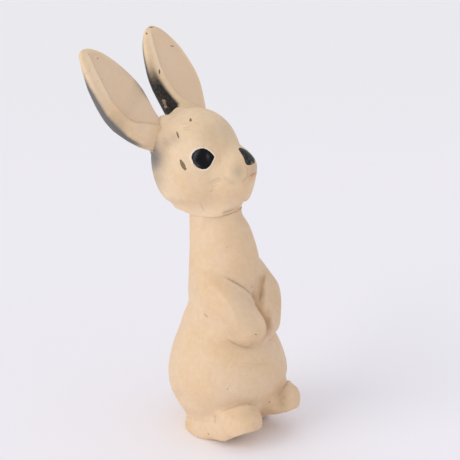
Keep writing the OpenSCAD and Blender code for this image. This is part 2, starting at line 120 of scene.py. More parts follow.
def addBall(name, rings=48):
    bpy.ops.object.select_all(action="DESELECT")
    bpy.ops.mesh.primitive_uv_sphere_add(segments=96, ring_count=rings, radius=1)
    ball = bpy.context.object
    ball.name = name
    return ball, readPoints(ball)


def applyModifier(obj, kind, **values):
    pickUp(obj)
    modifier = obj.modifiers.new(kind.lower(), kind)
    for key, value in values.items():
        setattr(modifier, key, value)
    bpy.ops.object.modifier_apply(modifier=modifier.name)


def remesh(obj, voxel):
    applyModifier(obj, "REMESH", mode="VOXEL", voxel_size=voxel)


# smooths a skin, more where the weight is higher
def soften(obj, turns, weight, levels=8):
    group = obj.vertex_groups.new(name="soft")
    level = np.round(np.clip(weight, 0, 1) * levels).astype(int)
    for step in range(1, levels + 1):
        picked = np.nonzero(level == step)[0]
        if len(picked):
            group.add(picked.tolist(), step / levels, "REPLACE")
    applyModifier(obj, "SMOOTH", factor=0.5, iterations=turns, vertex_group="soft")
    obj.vertex_groups.clear()


# cuts a turned pocket: a circle extruded and widened step by step along its own axis
def cutPocket(obj, steps, place):
    bpy.ops.object.select_all(action="DESELECT")
    (radius, height), *rest = [(r * mm, z * mm) for r, z in steps]
    bpy.ops.mesh.primitive_circle_add(vertices=96, radius=radius, fill_type="NGON")
    cutter = bpy.context.object
    bpy.ops.object.mode_set(mode="EDIT")
    bpy.ops.transform.translate(value=(0, 0, height))
    for nextRadius, nextHeight in rest:
        bpy.ops.mesh.extrude_region_move(TRANSFORM_OT_translate={"value": (0, 0, nextHeight - height)})
        share = nextRadius / radius
        bpy.ops.transform.resize(value=(share, share, 1))
        radius, height = nextRadius, nextHeight
    bpy.ops.mesh.select_all(action="SELECT")
    bpy.ops.mesh.normals_make_consistent(inside=False)
    bpy.ops.object.mode_set(mode="OBJECT")
    cutter.data.transform(place)
    applyModifier(obj, "BOOLEAN", operation="DIFFERENCE", solver="EXACT", object=cutter)
    bpy.data.objects.remove(cutter)


# camera first, because the marks on the skin are placed through it
def addCamera():
    azimuth, elevation = math.radians(shot["azimuth"]), math.radians(shot["elevation"])
    back = Vector((math.sin(azimuth) * math.cos(elevation), -math.cos(azimuth) * math.cos(elevation),
                   math.sin(elevation)))
    bpy.ops.object.camera_add(location=Vector(shot["target"]) + back * shot["distance"])
    camera = bpy.context.object
    camera.rotation_euler = back.to_track_quat("Z", "Y").to_euler()
    size = shot["imageSize"]
    camera.data.lens = camera.data.sensor_width * shot["focalPixels"] / size
    camera.data.shift_x = (size / 2 - shot["targetPixel"][0]) / size
    camera.data.shift_y = (shot["targetPixel"][1] - size / 2) / size
    camera.data.clip_start = 0.01
    bpy.context.scene.camera = camera
    bpy.context.view_layer.update()
    return camera


camera = addCamera()
print("camera set")


# points of a skin under a line drawn on the photograph, about one a pixel
def onSkin(obj, pixels, step=1.0):
    turn = camera.matrix_world.to_3x3()
    line, found = [], []
    for (x0, y0), (x1, y1) in zip(pixels, pixels[1:]):
        count = max(1, math.ceil(math.hypot(x1 - x0, y1 - y0) / step))
        line += [(x0 + (x1 - x0) * i / count, y0 + (y1 - y0) * i / count) for i in range(count)]
    line.append(pixels[-1])
    for x, y in line:
        ray = turn @ Vector((x - shot["targetPixel"][0], shot["targetPixel"][1] - y, -shot["focalPixels"]))
        hit, place, _, _ = obj.ray_cast(camera.location, ray.normalized())
        if hit:
            found.append(place)
    return np.array(found)


# where points of a skin land on the photograph, and how squarely they face it
def toPixels(co, no):
    away = co - np.array(camera.location)
    seen = away @ np.array(camera.matrix_world.to_3x3())
    pixels = shot["focalPixels"] * seen[:, :2] / -seen[:, 2:]
    facing = -np.einsum("ij,ij->i", away, no) / np.linalg.norm(away, axis=1)
    return pixels * (1, -1) + shot["targetPixel"], facing


# distance of each point from a line, which side it lies on, and how far along the line it is
def nearLine(co, no, line, reach):
    farOff = 1.0
    distance, side, along = np.full(len(co), farOff), np.zeros(len(co)), np.zeros(len(co))
    near = np.nonzero(np.all((co > line.min(0) - reach) & (co < line.max(0) + reach), axis=1))[0]
    points, best = co[near], np.full(len(near), farOff)
    length = max(len(line) - 1, 1)
    for i in range(length):
        start = line[i]
        run = line[min(i + 1, len(line) - 1)] - start
        share = np.clip((points - start) @ run / max(run @ run, 1e-12), 0, 1)
        gap = points - (start + share[:, None] * run)
        reached = np.linalg.norm(gap, axis=1)
        closer = reached < best
        best[closer] = reached[closer]
        across = np.cross(run, no[near])
        side[near[closer]] = np.sign(np.einsum("ij,ij->i", across, gap))[closer]
        along[near[closer]] = ((i + share) / length)[closer]
    distance[near] = best
    return distance, side, along


def fade(value, low, high):
    share = np.clip((value - low) / (high - low), 0, 1)
    return share * share * (3 - 2 * share)


def bump(value, width):
    return np.exp(-(value / width) ** 2)


def band(value, amount, place, width):
    return amount * bump(value - place, width)


# rises over the start of a line and falls over its end
def taper(along, start, end):
    return fade(along, -0.02, start) * fade(1 - along, -0.02, end)


def between(value, low, high):
    return (value > low) & (value < high)


# signed distance inside an outline drawn on the photograph, in pixels
def insideOutline(pixels, outline):
    inside = np.zeros(len(pixels), bool)
    nearest = np.full(len(pixels), 1e6)
    for (x0, y0), (x1, y1) in zip(outline, outline[1:] + outline[:1]):
        crosses = (y0 > pixels[:, 1]) != (y1 > pixels[:, 1])
        where = x0 + (pixels[:, 1] - y0) * (x1 - x0) / (y1 - y0 if y1 != y0 else 1e-9)
        inside ^= crosses & (pixels[:, 0] < where)
        run = np.array((x1 - x0, y1 - y0))
        share = np.clip((pixels - (x0, y0)) @ run / (run @ run), 0, 1)
        nearest = np.minimum(nearest, np.linalg.norm(pixels - (x0, y0) - share[:, None] * run, axis=1))
    return np.where(inside, nearest, -nearest)


def mirrorOf(place):
    return place @ Matrix.Scale(-1, 4, (1, 0, 0)) @ place.inverted()


# the same line on the other side of the object, laid on its skin
def mirrored(obj, line, place):
    flip = mirrorOf(place)
    return np.array([obj.closest_point_on_mesh(flip @ Vector(p))[1] for p in line[::-1]])


# pixels of a skin as the camera sees it, then of its mirror image
def bothSides(co, no, place):
    for flip in (unmoved, mirrorOf(place)):
        yield toPixels(inFrame(co, flip), no @ np.array(flip.to_3x3()).T)


# how near pixels are to the middle of a soft spot
def spotShare(pixels, centre, reach):
    return np.exp(-(((pixels - centre) / reach) ** 2).sum(1))


# soft bumps and hollows: place and reach in pixels of the photograph, lift in millimetres
def pressSpots(obj, spots, place, turnAway=(-0.3, 0.1)):
    co, no = readPoints(obj), readNormals(obj)
    lift = np.zeros(len(co))
    for pixels, facing in bothSides(co, no, place):
        for centre, reach, amount in spots:
            lift += amount * mm * spotShare(pixels, centre, reach) * fade(facing, *turnAway)
    writePoints(obj, co + no * lift[:, None])


roundBehind = (-0.85, -0.4)   # turnAway of spots that lie on the outline itself


# a crease in millimetres along a line on the photograph: a groove, or with a fall a step set back on its left
def crease(line, width, depth, grimeAndShade, fall=0, lip=0, lipWide=1, both=False, soilAndShade=0.45, ends=(0.3, 0.3)):
    return line, width, depth, grimeAndShade, fall, lip, lipWide, both, soilAndShade, ends


def pressCreases(obj, creases, place):
    co, no = readPoints(obj), readNormals(obj)
    lift, grimeAndShade = np.zeros(len(co)), np.zeros(len(co))
    for drawn, width, depth, amount, fall, lip, lipWide, both, soilAndShade, tapers in creases:
        lines = [(onSkin(obj, drawn), tapers)]
        if both:
            lines.append((mirrored(obj, lines[0][0], place), tapers[::-1]))
        for line, tapers in lines:
            distance, side, along = nearLine(co, no, line, max(width * 5, fall * 4) * mm)
            near = distance < max(width * 4, fall * 4) * mm
            signed = np.where(near, distance * side / mm, 1000)
            ends = taper(along, *tapers)
            if fall:
                setBack = depth * np.exp(np.minimum(signed, 0) / fall)
                lift -= setBack * fade(signed, width, -width / 2) * ends
                lift += band(signed, lip, width, lipWide) * fade(signed, -width / 2, width) * ends
            else:
                lift -= depth * bump(signed, width) * ends
                lift += band(signed, lip, width * 1.6, width) * ends
            # darkening along each crease: grime and painted shade together
            grimeAndShade = np.maximum(grimeAndShade, amount * bump(signed, soilAndShade) * ends)
    writePoints(obj, co + no * (lift * mm)[:, None])
    return grimeAndShade


# fine strokes as creases, from rows of line, width, depth and the amount of grime and painted shade
def strokes(rows, **more):
    return [crease(*row, **more) for row in rows]


# soft spots in pixels of the photograph: place, reach and amount
def softSpots(pixels, spots):
    mask = np.zeros(len(pixels))
    for centre, reach, amount in spots:
        mask = np.maximum(mask, amount * spotShare(pixels, centre, reach))
    return mask


def storeMask(obj, name, values):
    mask = obj.data.attributes.new(name, "FLOAT", "POINT")
    mask.data.foreach_set("value", np.clip(values, 0, 1).astype(np.float32))


# chips in the surface, pressed in a little: rows of a line and its half width in millimetres
def chipMask(obj, chips, depth=0.12 * mm, soft=0.15 * mm, ends=0.45, swell=0.55, step=0.25):
    co, no = readPoints(obj), readNormals(obj)
    mask = np.zeros(len(co))
    for line, radius in chips:
        distance, _, along = nearLine(co, no, onSkin(obj, line, step), 3 * mm)
        width = radius * mm * (ends + swell * np.sin(np.pi * np.clip(along, 0.02, 0.98)))
        mask = np.maximum(mask, fade(distance, width + soft, width - soft))
    writePoints(obj, co - no * (mask * depth)[:, None])
    return mask


# swivel frame from the joint, and the frames of the head and the ears on it
swivel = frame["joints"][0]
axis = Vector(swivel["axis"])
neckFrame = (Matrix.Translation(swivel["pos_m"]) @ Matrix.Rotation(math.atan2(axis.x, axis.z), 4, "Y")
             @ Matrix.Rotation(-math.asin(axis.y), 4, "X"))
headFrame = (neckFrame @ Matrix.Rotation(math.radians(headPose["turn"]), 4, "Z")
             @ Matrix.Translation((0, 0, headPose["gap"])))


def earFrame(side):
    x, y, z = earPose["place"]
    return (headFrame @ Matrix.Translation(Vector((side * x, y, z)) * mm)
            @ Matrix.Rotation(math.radians(side * earPose["out"]), 4, "Y")
            @ Matrix.Rotation(math.radians(-earPose["back"]), 4, "X")
            @ Matrix.Rotation(math.radians(earPose["turn"][side]), 4, "Z"))


# body: the outer skin of the solid, remeshed evenly, with the pockets that hold the head and the whistle
bodySkin = dict(
    voxel=0.5 * mm, fineVoxel=0.51 * mm, softTurns=32, flatBelow=0.7 * mm,
    neckPocket=[(8.0, 2), (8.0, -3), (10.2, -3.01), (10.2, -9)],
    whistlePocket=[(10.4, -2), (10.4, 1.3), (8.5, 1.31), (8.5, 3.2), (9.9, 3.21), (9.9, 13)])
# faces of the two bores, which join the outer skin to the inner wall
bodyBores = dict(
    collarRadius=8.0 * mm, slack=0.2 * mm, collarHeights=(-2.95 * mm, -0.05 * mm), whistleRadius=10.7 * mm,
    whistleHeights=(0.05 * mm, 3.1 * mm))
# the neck's edge: what stays unsmoothed, its rounding, and its lift towards the head
bodySeam = dict(keep=-0.6 * mm, round=1.4, lift=0.15 * mm, liftOver=(-1.2, -0.1))
# where the upper arm runs into the flank with no crease, and the foot is one smooth block
bodyBlends = [
    dict(turns=420, edge=7, outline=[(196, 272), (206, 276), (221, 292), (236, 314), (241, 333), (228, 338),
        (206, 326), (192, 306)]),
    dict(turns=160, edge=5,
        outline=[(186, 421), (200, 424), (213, 421), (224, 426), (232, 436), (205, 446), (186, 432)])]
# paws by height: how full their inner edges are, and the valley between them
pawRelief = dict(
    height=(46.5, 49, 52, 56, 60, 63, 66, 69), right=(0, 1.3, 1.7, 1.9, 2.1, 1.3, 0.4, 0),
    left=(0, 0.5, 0.7, 0.7, 0.4, 0, 0, 0), valley=(0, 1.6, 3.8, 4.8, 4.4, 3.2, 1.4, 0),
    middle=(0.5, 0.5, 0.6, 0.7, 0.9, 1.1, 1.4, 1.8), valleyWidth=1.15, rightEdge=(-2.9, 2.1),
    leftEdge=(3.2, 1.6), front=-9 * mm)
bodySpots = [
    ((238, 292), (12, 6), 0.4), ((177, 400), (8, 9), -1.5), ((170, 357), (8, 15), -0.6),
    ((184, 424), (7, 12), -2.0), ((292, 381), (6, 5), -0.9), ((278, 283), (6, 12), 0.6)]
# waist and throat on the outline
bodyOutline = [((184, 300), (12, 12), -2.3), ((187, 279), (8, 10), -0.3), ((246, 212), (7, 9), -1.3)]
bodyCreases = [
    # near arm over the chest, far arm beside it, and the small fold between them
    crease([(221, 275), (226, 277.6), (231, 280.4), (237, 283.6), (244, 287.8), (251, 293.2), (253.4, 297.6),
           (256, 302.5)], 0.55, 1.0, 0.5, fall=4.5, lip=0.4, lipWide=2.0, ends=(0.35, 0.12)),
    crease([(258.6, 303), (260.4, 296.5), (262.4, 286.5), (264.2, 277.5), (265.4, 270.5)], 0.7, 1.4, 0.4,
           fall=3.0, lip=0.5, lipWide=2.5, ends=(0.1, 0.35), soilAndShade=0.9),
    crease([(251.6, 289), (254, 287), (256.4, 285.3)], 0.4, 0.25, 0.35),
    # under the paws
    crease([(258, 346), (251, 347.8), (244, 347.2), (237, 345), (230, 341.4), (224, 336.5)], 0.8, 0.7, 0.4,
           fall=2.6, lip=0.3, lipWide=2.0, both=True, soilAndShade=0.7),
    # over the toes and beside the heel
    crease([(217, 414.5), (221, 412), (225, 409.8), (233, 407), (240, 405), (247, 404), (254, 405),
           (260.5, 408)], 0.6, 0.6, 0.4, fall=2.0, lip=0.3, lipWide=1.6, both=True),
    crease([(188, 417), (195, 420.5), (205, 421.5), (215, 420.5)], 1.1, 0.2, 0.12, both=True),
    crease([(214.6, 414), (215.2, 424)], 0.5, 0.35, 0.45),
    # scratches
    crease([(203.6, 313.6), (208.2, 317.8)], 0.35, 0.15, 0.75, soilAndShade=0.3),
    *strokes([([(237, 363), (254, 364.5), (272, 363.5)], 0.5, 0.08, 0.15),
              ([(236, 366.5), (250, 367), (262, 366)], 0.5, 0.07, 0.12),
              ([(198, 205), (203, 211), (208.5, 217)], 0.7, 0.1, 0.15)])]
# grime and painted shade between the arms, under the paws and behind the far foot, and a broad painted shadow
# over the far arm
bodyGrimeAndShade = [
    ((262.3, 294), (3.2, 13), 0.62), ((269.5, 319), (3.5, 12), 0.44), ((271, 298), (9, 26), 0.2),
    ((248, 346.5), (11, 3.5), 0.22), ((282, 398), (6, 11), 0.5), ((246, 402), (14, 3), 0.15)]
bodyChips = [
    ([(269.2, 402.2), (269.6, 402.6)], 0.45), ([(207.4, 434.2), (208.8, 433.8)], 0.4),
    ([(255.2, 334), (257.4, 335.4)], 0.25), ([(227.3, 388.3), (227.8, 389)], 0.3)]
# the front of each sole rises from the floor: places from front to back, and their heights
soles = {
    "below": 16 * mm, "clearOfBase": (12 * mm, 15 * mm),
    -1: ((-30.8, -28, -23.7, -19.2, -12), (10.9, 10.1, 7.5, 4.5, 0)),
    1: ((-30.8, -25.5, -19.8, -16, -9.5, -2), (13, 9.8, 6.3, 4, 1.7, 0))}


# the outer skin alone: with the faces of the bores gone it comes apart from the inner wall
def outerSkin():
    body = copyNode("body_shell", "bodySkin")
    centres = readVectors(body.data.polygons, "center")
    neck = inFrame(centres, neckFrame)
    collar = abs(np.hypot(neck[:, 0], neck[:, 1]) - bodyBores["collarRadius"]) < bodyBores["slack"]
    collar &= between(neck[:, 2], *bodyBores["collarHeights"])
    hole = np.hypot(centres[:, 0], centres[:, 1]) < bodyBores["whistleRadius"]
    hole &= between(centres[:, 2], *bodyBores["whistleHeights"])
    pickUp(body)
    selectFaces(body, collar | hole)
    bpy.ops.object.mode_set(mode="EDIT")
    bpy.ops.mesh.delete(type="FACE")
    bpy.ops.mesh.select_all(action="DESELECT")
    bpy.ops.object.mode_set(mode="OBJECT")
    outermost = int(np.argmax(np.linalg.norm(readPoints(body)[:, :2], axis=1)))
    body.data.vertices[outermost].select = True
    bpy.context.tool_settings.mesh_select_mode = (True, False, False)
    bpy.ops.object.mode_set(mode="EDIT")
    bpy.ops.mesh.select_linked()
    bpy.ops.mesh.select_all(action="INVERT")
    bpy.ops.mesh.delete(type="VERT")
    bpy.ops.mesh.select_all(action="SELECT")
    bpy.ops.mesh.fill_holes(sides=0)
    bpy.ops.object.mode_set(mode="OBJECT")
    return body


# smooth all over, but the base stays flat and the seam keeps its edge
def smoothBody(body):
    co = readPoints(body)
    seam = inFrame(co, neckFrame)[:, 2]
    soften(body, bodySkin["softTurns"], (co[:, 2] > bodySkin["flatBelow"]) & (seam < bodySeam["keep"]))
    for blend in bodyBlends:
        co, no = readPoints(body), readNormals(body)
        weight = 0
        for sign in (1, -1):
            pixels, facing = toPixels(co * (sign, 1, 1), no * (sign, 1, 1))
            inside = fade(insideOutline(pixels, blend["outline"]), 0, blend["edge"])
            weight = np.maximum(weight, inside * (facing > 0.05))
        soften(body, blend["turns"], weight * (co[:, 2] > bodySkin["flatBelow"]))


# full paws with a deep valley between them
def fillPaws(body):
    co = readPoints(body)
    middle, right, left, valley = [np.interp(co[:, 2] / mm, pawRelief["height"], pawRelief[key], 0, 0)
                                   for key in ("middle", "right", "left", "valley")]
    across = co[:, 0] / mm - middle
    push = valley * bump(across, pawRelief["valleyWidth"])
    push = push - band(across, right, *pawRelief["rightEdge"]) - band(across, left, *pawRelief["leftEdge"])
    co[:, 1] += push * (co[:, 1] < pawRelief["front"]) * mm
    writePoints(body, co)


# crisp neck edge raised to the head, and flat soles under the toes
def trimBody(body):
    co = readPoints(body)
    seam, edge = inFrame(co, neckFrame)[:, 2] / mm, bodySeam["round"]
    near = np.clip(-seam / edge, 0, 1)
    rise = np.where(seam > -edge, -edge * near ** 2 - seam, 0) * (seam < 0) * mm
    rise += bodySeam["lift"] * fade(seam, *bodySeam["liftOver"])
    co += np.array(axis) * rise[:, None]
    for side in (-1, 1):
        foot = (np.sign(co[:, 0]) == side) & (co[:, 2] < soles["below"]) & (co[:, 1] < 0)
        clear = fade(np.hypot(co[:, 0], co[:, 1]), *soles["clearOfBase"])
        plane = np.interp(co[:, 1] / mm, *soles[side]) * clear * mm
        co[:, 2] = np.where(foot, np.maximum(co[:, 2], plane), co[:, 2])
    writePoints(body, co)


def makeBody():
    body = outerSkin()
    remesh(body, bodySkin["voxel"])
    smoothBody(body)
    fillPaws(body)
    remesh(body, bodySkin["fineVoxel"])
    trimBody(body)
    pressSpots(body, bodySpots, unmoved)
    pressSpots(body, bodyOutline, unmoved, roundBehind)
    cutPocket(body, bodySkin["neckPocket"], neckFrame)
    cutPocket(body, bodySkin["whistlePocket"], unmoved)
    bpy.context.view_layer.update()
    grimeAndShade = pressCreases(body, bodyCreases, unmoved)
    pixels, facing = toPixels(readPoints(body), readNormals(body))
    # the body's crease darkening and soft dark spots: grime and painted shade
    storeMask(body, "grimeAndShade", np.maximum(grimeAndShade, softSpots(pixels, bodyGrimeAndShade) * (facing > -0.1)))
    bpy.context.view_layer.update()
    storeMask(body, "chip", chipMask(body, bodyChips))
    return body


body = makeBody()
print("body skin:", len(body.data.vertices), "points")

# head: the solid with its sockets and hollow filled flush and a fillet round each ear, remeshed
headSkin = dict(
    voxel=0.345 * mm, softTurns=60, softAbove=0.4, floor=0.3,
    skull=((0, 8.8, 23.3), (21.2, 19.95, 22.05, 27.9)), muzzle=((0, -6, 18.4), (13.4, 13.55, 11.95, 17.2)),
    earFillet=((1.2, 0.5, -1), (9.4, 7.2, 8.5, 6)), earBrow=((8, 19.5, 36), (7.5, 6.5, 7, 7)))
# the throat and the ears' roots run on smoothly
headBlends = dict(throatTurns=220, throatFrom=(0.2, 1.2), throatTo=(9, 5), rootTurns=240, rootReach=(19, 13))
# the jaw lifts clear of the neck, wider and higher behind, and the rim on the neck keeps its edge
jaw = dict(
    lift=2.1, behind=(-4, 4), reach=(11.6, 14.4), wider=2.6, below=(5.5, 1.5), higher=3.5, rim=1.4,
    softTurns=130, softReach=(11.4, 13), softFrom=(0.9, 2), softTo=(11, 6))
# near eye: its edge on the photograph
eyeOutline = [
    (191.4, 157.5), (192.6, 153.3), (196, 150.0), (201, 148.4), (206, 149.1), (210, 151.8), (213.6, 155.6),
    (214.2, 157.4), (212.2, 161.5), (209.7, 166), (206.5, 168.8), (202, 169.3), (197.5, 167), (193.3, 162.5)]
headCreases = [
    # whisker pads: fold below, split in front and hollow behind
    crease([(221, 173), (226, 179), (231.8, 183.2), (237, 184.8), (242, 184.2)], 1.0, 0.55, 0.14, lip=-0.25,
           both=True, soilAndShade=0.8, ends=(0.4, 0.4)),
    crease([(246.3, 164.8), (248.4, 169.5), (248.4, 175), (246.3, 179.5), (242, 183.8)], 0.8, 0.4, 0.12,
           both=True, soilAndShade=0.7, ends=(0.25, 0.25)),
    crease([(216.6, 150), (219.8, 155), (220.6, 161), (217.5, 168)], 0.9, 0.3, 0.12, both=True,
           ends=(0.5, 0.5)),
    # neck folds under the chin
    crease([(236, 208.6), (229, 211.8), (221, 214)], 0.9, 0.5, 0.5, soilAndShade=0.6),
    crease([(199.5, 202.5), (202.5, 208), (205.5, 213.5)], 0.7, 0.14, 0.25),
    # whiskers
    *strokes([([(209.5, 183.4), (215, 180.4), (221.5, 177)], 0.4, 0.28, 0.22),
              ([(212.5, 184.8), (217, 182), (223, 178.5)], 0.4, 0.26, 0.18),
              ([(211, 188.2), (214.5, 186.6), (218, 185)], 0.36, 0.22, 0.16),
              ([(208.6, 192.6), (212, 191), (215, 189)], 0.36, 0.22, 0.14)], both=True),
    # strokes of hair on the forehead
    *strokes([([(182.6, 123.9), (186, 123.6), (189, 123.3)], 0.34, 0.2, 0.16),
              ([(182.4, 127.8), (187, 127.4), (191.6, 126.8)], 0.34, 0.22, 0.2),
              ([(187.5, 125.6), (191, 125.4), (194, 125.8)], 0.34, 0.18, 0.14),
              ([(184.5, 130), (188.5, 129.6), (192, 129)], 0.34, 0.18, 0.14),
              ([(193, 122.4), (197, 122.6), (200.5, 123.4)], 0.34, 0.16, 0.1),
              ([(168, 121), (172, 117.6), (177, 115.2)], 0.4, 0.16, 0.16)])]
headSpots = [
    ((233.5, 175), (7.5, 7), 0.45), ((227, 160), (6, 10), -0.3), ((248, 196), (7, 7), 0.4),
    ((256, 166), (5, 9), 0.6), ((167, 200), (6, 6), 0.5), ((164, 117), (7, 5), 1.0)]
# chin and throat on the outline
headOutline = [((246, 200), (5, 5), 0.42), ((243, 208), (6, 4.5), -1.1)]
headChips = [
    ([(180.6, 160.6), (182.8, 165), (185.2, 169.6)], 1.0), ([(176.6, 131.6), (178.8, 138)], 0.4),
    ([(190.4, 118.2), (190.8, 121)], 0.5), ([(189.2, 120.9), (191.8, 120.9)], 0.3),
    ([(185.2, 169), (186.6, 168.8)], 0.3), ([(168, 149), (168.6, 149.4)], 0.2),
    ([(206.4, 120.4), (206.9, 120.8)], 0.22), ([(164, 138), (164.4, 138.6)], 0.18)]
# pink of the mouth on the photograph, and grey spray: over the back, and as place, reach and amount
mouthPatch = [(248.2, 174), (251.5, 171.5), (255, 172.5), (255.5, 179), (250.5, 182), (247.8, 178.5)]
# the first two spots, by the near ear's root, are grey spray and painted shade; the last, on the front of the
# crown, is a painted reflection
headSprayAndPaintedLight = dict(
    amount=0.95, back=(0.5, 0.97), height=(-0.62, -0.05), turnAway=(-0.4, -0.1),
    spots=[((166, 143), (11, 7), 0.31), ((174, 139), (8, 6), 0.31), ((238, 171), (7, 7), 0.3),
        ((253, 168), (4, 6), 0.3), ((150, 158), (14, 18), 0.95), ((156, 178), (9, 15), 0.42),
        ((226, 129), (9, 14), 0.16)])


def addFiller(name, place, centre, radii, floor=None):
    filler, co = addBall(name)
    rise = np.where(co[:, 2] > 0, radii[2], radii[3])
    co = co * np.stack([np.full(len(co), radii[0]), np.full(len(co), radii[1]), rise], 1) + centre
    if floor is not None:
        co[:, 2] = np.maximum(co[:, 2], floor)
    writePoints(filler, co * mm)
    filler.data.transform(place)
    return filler


def inHead(head):
    local = inFrame(readPoints(head), headFrame) / mm
    return local, local[:, 2], np.hypot(local[:, 0], local[:, 1])


def shapeJaw(head):
    co = readPoints(head)
    local, height, reach = inHead(head)
    behind = fade(local[:, 1], *jaw["behind"])
    (inner, outer), (top, bottom), rim = jaw["reach"], jaw["below"], jaw["rim"]
    rise = jaw["lift"] * fade(reach, inner, outer + jaw["wider"] * behind)
    rise *= fade(height, top + jaw["higher"] * behind, bottom)
    low = height.min()
    share = np.clip((height - low) / (rim - low), 0, 1)
    rise += np.where(height < rim, low + (rim - low) * share ** 2 - height, 0)
    writePoints(head, co + np.array(axis) * (rise * mm)[:, None])
    _, height, reach = inHead(head)
    weight = fade(reach, *jaw["softReach"]) * fade(height, *jaw["softFrom"]) * fade(height, *jaw["softTo"])
    soften(head, jaw["softTurns"], weight)


def makeHead():
    head = copyNode("head_shell", "headSkin")
    fillers = [addFiller(name, headFrame, *headSkin[name], headSkin["floor"]) for name in ("skull", "muzzle")]
    (x, y, z), radii = headSkin["earFillet"]
    fillers += [addFiller("earFillet", earFrame(side), (-side * x, y, z), radii) for side in (-1, 1)]
    (x, y, z), radii = headSkin["earBrow"]
    fillers += [addFiller("earBrow", headFrame, (side * x, y, z), radii) for side in (-1, 1)]
    pickUp(head)
    for filler in fillers:
        filler.select_set(True)
    bpy.ops.object.join()
    remesh(head, headSkin["voxel"])
    _, height, _ = inHead(head)
    soften(head, headSkin["softTurns"], height > headSkin["softAbove"])
    _, height, _ = inHead(head)
    throat = fade(height, *headBlends["throatFrom"]) * fade(height, *headBlends["throatTo"])
    soften(head, headBlends["throatTurns"], throat)
    co = readPoints(head)
    roots = [np.linalg.norm(inFrame(co, earFrame(side)) / mm, axis=1) for side in (-1, 1)]
    soften(head, headBlends["rootTurns"], fade(np.minimum(*roots), *headBlends["rootReach"]))
    shapeJaw(head)
    bpy.context.view_layer.update()
    return head


head = makeHead()
print("head skin:", len(head.data.vertices), "points")


# the eye's edge as a distance from its middle for each direction, in the eye's own frame
def eyeShape():
    edge = onSkin(head, eyeOutline + eyeOutline[:1])
    _, place, normal, _ = head.closest_point_on_mesh(Vector(edge.mean(0)))
    local = headFrame.inverted()
    z = (local.to_3x3() @ normal).normalized()
    x = Vector((0, 0, 1)).cross(z).normalized()
    eyePlace = Matrix((x, z.cross(x), z)).transposed().to_4x4()
    eyePlace.translation = local @ place
    flat = inFrame(edge, headFrame @ eyePlace)
    around, reach = np.arctan2(flat[:, 1], flat[:, 0]), np.hypot(flat[:, 0], flat[:, 1])
    order = np.argsort(around)
    return edge, eyePlace, around[order], reach[order]


eyeEdge, eyePlace, eyeAround, eyeReach = eyeShape()
# bed of each eye, in millimetres from its edge: a raised rim outside and a floor inside, and a pale painted
# highlight round the edge
eyeBed = dict(
    reach=8 * mm, rim=(0.3 * mm, 0.45, 0.55), sink=0.5 * mm, sinkOver=(0, -0.8), highlightFrom=(-0.9, 0),
    highlightTo=(0.85, 0.3))
mouthLine = dict(
    half=4.6, height=17.0, smile=0.03, width=0.75, depth=0.9, ends=(0.35, 0.35), grimeAndShade=0.5, soilAndShade=0.6,
    points=40, patchEdge=(-1.2, 1.2))


# where a ray from the front, at x and z of the head in millimetres, meets the skin of the head
def fromFront(x, z):
    start = headFrame @ Vector((x * mm, -60 * mm, z * mm))
    return head.ray_cast(start, (headFrame.to_3x3() @ Vector((0, 1, 0))).normalized())[:3]


def frontLine(heights, sides):
    hits = [fromFront(x, z) for z, x in zip(heights, sides)]
    return np.array([place for hit, place, _ in hits if hit])


def shapeFace():
    pressSpots(head, headSpots, headFrame)
    pressSpots(head, headOutline, headFrame, roundBehind)
    co, no = readPoints(head), readNormals(head)
    lift, rim = np.zeros(len(co)), np.zeros(len(co))
    for edge in (eyeEdge, mirrored(head, eyeEdge, headFrame)):
        distance, _, _ = nearLine(co, no, edge, 4 * mm)
        fromMiddle = np.linalg.norm(co - edge.mean(0), axis=1)
        eyeRadius = np.linalg.norm(edge - edge.mean(0), axis=1).mean()
        outward = np.where(fromMiddle < eyeRadius, -distance, distance) / mm
        near = fromMiddle < eyeBed["reach"]
        lift += band(outward, *eyeBed["rim"]) * near
        lift -= eyeBed["sink"] * near * fade(outward, *eyeBed["sinkOver"])
        # pale ring round each eye: a painted highlight on its raised rim
        rim = np.maximum(rim, fade(outward, *eyeBed["highlightFrom"]) * fade(outward, *eyeBed["highlightTo"]) * near)
    # mouth
    sides = np.linspace(-mouthLine["half"], mouthLine["half"], mouthLine["points"])
    mouth = frontLine(mouthLine["height"] + mouthLine["smile"] * sides ** 2, sides)
    distance, _, along = nearLine(co, no, mouth, 4 * mm)
    ends = taper(along, *mouthLine["ends"])
    lift -= mouthLine["depth"] * mm * bump(distance, mouthLine["width"] * mm) * ends
    writePoints(head, co + no * lift[:, None])
    bpy.context.view_layer.update()
    # darkening in the face's creases and the mouth groove: grime and painted shade
    grimeAndShade = pressCreases(head, headCreases, headFrame)
    grimeAndShade = np.maximum(grimeAndShade, mouthLine["grimeAndShade"] * bump(distance, mouthLine["soilAndShade"] * mm) * ends)
    bpy.context.view_layer.update()
    storeMask(head, "chip", chipMask(head, headChips))
    storeMask(head, "grimeAndShade", grimeAndShade)
    storeMask(head, "rim", rim)
    # pink of the mouth, and grey on the back of the head, by the near ear and on the muzzle; by the near ear
    # it is grey spray and painted shade, and a faint grey on the crown is a painted reflection
    co, no = readPoints(head), readNormals(head)
    local = inFrame(co, headFrame) / mm - headSkin["skull"][0]
    away = local / np.linalg.norm(local, axis=1)[:, None]
    grey = headSprayAndPaintedLight["amount"] * fade(away[:, 1], *headSprayAndPaintedLight["back"]) * fade(away[:, 2], *headSprayAndPaintedLight["height"])
    pink = np.zeros(len(co))
    for pixels, facing in bothSides(co, no, headFrame):
        patch = fade(insideOutline(pixels, mouthPatch), *mouthLine["patchEdge"])
        pink = np.maximum(pink, patch * (facing > -0.2))
        sprayed = softSpots(pixels, headSprayAndPaintedLight["spots"]) * fade(facing, *headSprayAndPaintedLight["turnAway"])
        grey = np.maximum(grey, sprayed)
    storeMask(head, "pink", pink * (away[:, 1] < 0))
    storeMask(head, "grey", grey)


